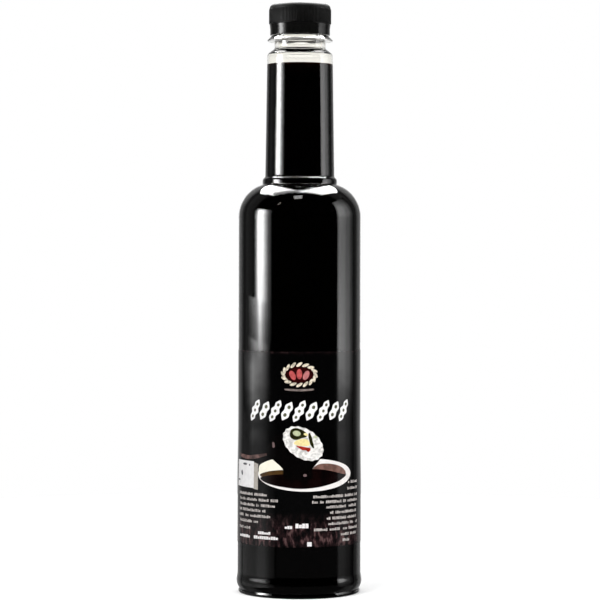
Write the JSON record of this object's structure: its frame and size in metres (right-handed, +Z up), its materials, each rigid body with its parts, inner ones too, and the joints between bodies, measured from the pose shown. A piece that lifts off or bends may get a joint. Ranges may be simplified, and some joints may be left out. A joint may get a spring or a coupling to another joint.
{
  "type": "soy sauce bottle",
  "caption": "Tall round clear bottle filled with dark soy sauce, slim neck, black ribbed screw cap and a wraparound film label.",
  "frame": {"origin": "centre of the ring that the bottle stands on, at its lowest point", "axes": "+Z up along the bottle's axis; -Y is the front, where the label's picture is"},
  "size_m": [0.0628, 0.0628, 0.2932],
  "materials": {
    "clear_plastic": "clear, smooth blown plastic with a faint cool tint",
    "sauce": "nearly black brown liquid",
    "cap_plastic": "black moulded plastic, satin on the ribbed skirt and smoother on the band",
    "label_film": "black printed film, satin"
  },
  "bodies": {
    "root": {"bottle": "clear_plastic", "soy_sauce": "sauce", "screw_cap": "cap_plastic", "label": "label_film"}
  },
  "joints": []
}
